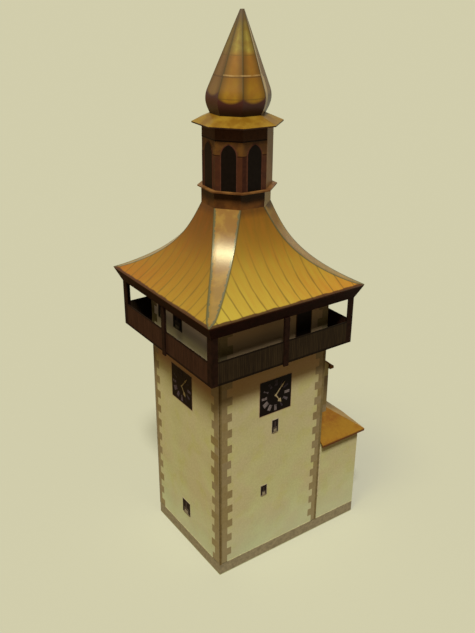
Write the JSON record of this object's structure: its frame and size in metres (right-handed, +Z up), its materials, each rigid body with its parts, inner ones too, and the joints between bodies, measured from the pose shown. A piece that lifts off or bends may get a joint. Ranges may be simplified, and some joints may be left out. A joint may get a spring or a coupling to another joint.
{
  "type": "card model of a watchtower",
  "caption": "Folded card model of a square watchtower: plastered walls, open timber gallery, flared roof with eight-sided lantern and onion spire, low annex and bay.",
  "frame": {"origin": "the middle of the tower's foot, on the underside of the card it is glued down to", "axes": "+Z up, +X right along the front wall (the annex stands on +X), +Y from the front wall to the back"},
  "size_m": [0.0937, 0.0772, 0.2363],
  "materials": {
    "printed_stone": "matt printed card, cream plaster with grey corner stones",
    "printed_timber": "matt printed card, dark timber boards",
    "printed_tiles": "satin printed card, ochre roof boards with dark seams",
    "glossy_hips": "glossy printed card, pale strips with dark edge lines",
    "printed_lantern": "glossy printed card, orange-brown boards with dark arches",
    "printed_copper": "satin printed card, golden brown sheet metal with dark seams",
    "plain_card": "matt white card",
    "dark_card": "matt printed card, dark brown"
  },
  "bodies": {
    "root": {"front_wall": "printed_stone", "left_wall": "printed_stone", "right_wall": "printed_stone", "back_wall": "printed_stone", "base_card": "plain_card", "gallery_floor": "printed_timber", "front_parapet": "printed_timber", "left_parapet": "printed_timber", "right_parapet": "printed_timber", "back_parapet": "printed_timber", "corner_posts": "printed_timber", "middle_posts": "printed_timber", "gallery_ceiling": "printed_timber", "front_cornice": "printed_timber", "left_cornice": "printed_timber", "right_cornice": "printed_timber", "back_cornice": "printed_timber", "front_roof": "printed_tiles", "left_roof": "printed_tiles", "right_roof": "printed_tiles", "back_roof": "printed_tiles", "front_left_hip": "glossy_hips", "front_right_hip": "glossy_hips", "back_left_hip": "glossy_hips", "back_right_hip": "glossy_hips", "lantern_collar": "dark_card", "lower_cornice": "dark_card", "lantern_walls": "printed_lantern", "lantern_lid": "dark_card", "upper_cornice": "printed_copper", "spire": "printed_copper", "annex_front_wall": "printed_stone", "annex_side_wall": "printed_stone", "annex_back_wall": "printed_stone", "annex_front_roof": "printed_tiles", "annex_side_roof": "printed_tiles", "annex_back_roof": "printed_tiles", "bay_front_wall": "printed_stone", "bay_side_wall": "printed_stone", "bay_back_wall": "printed_stone", "bay_roof": "printed_tiles"}
  },
  "joints": []
}
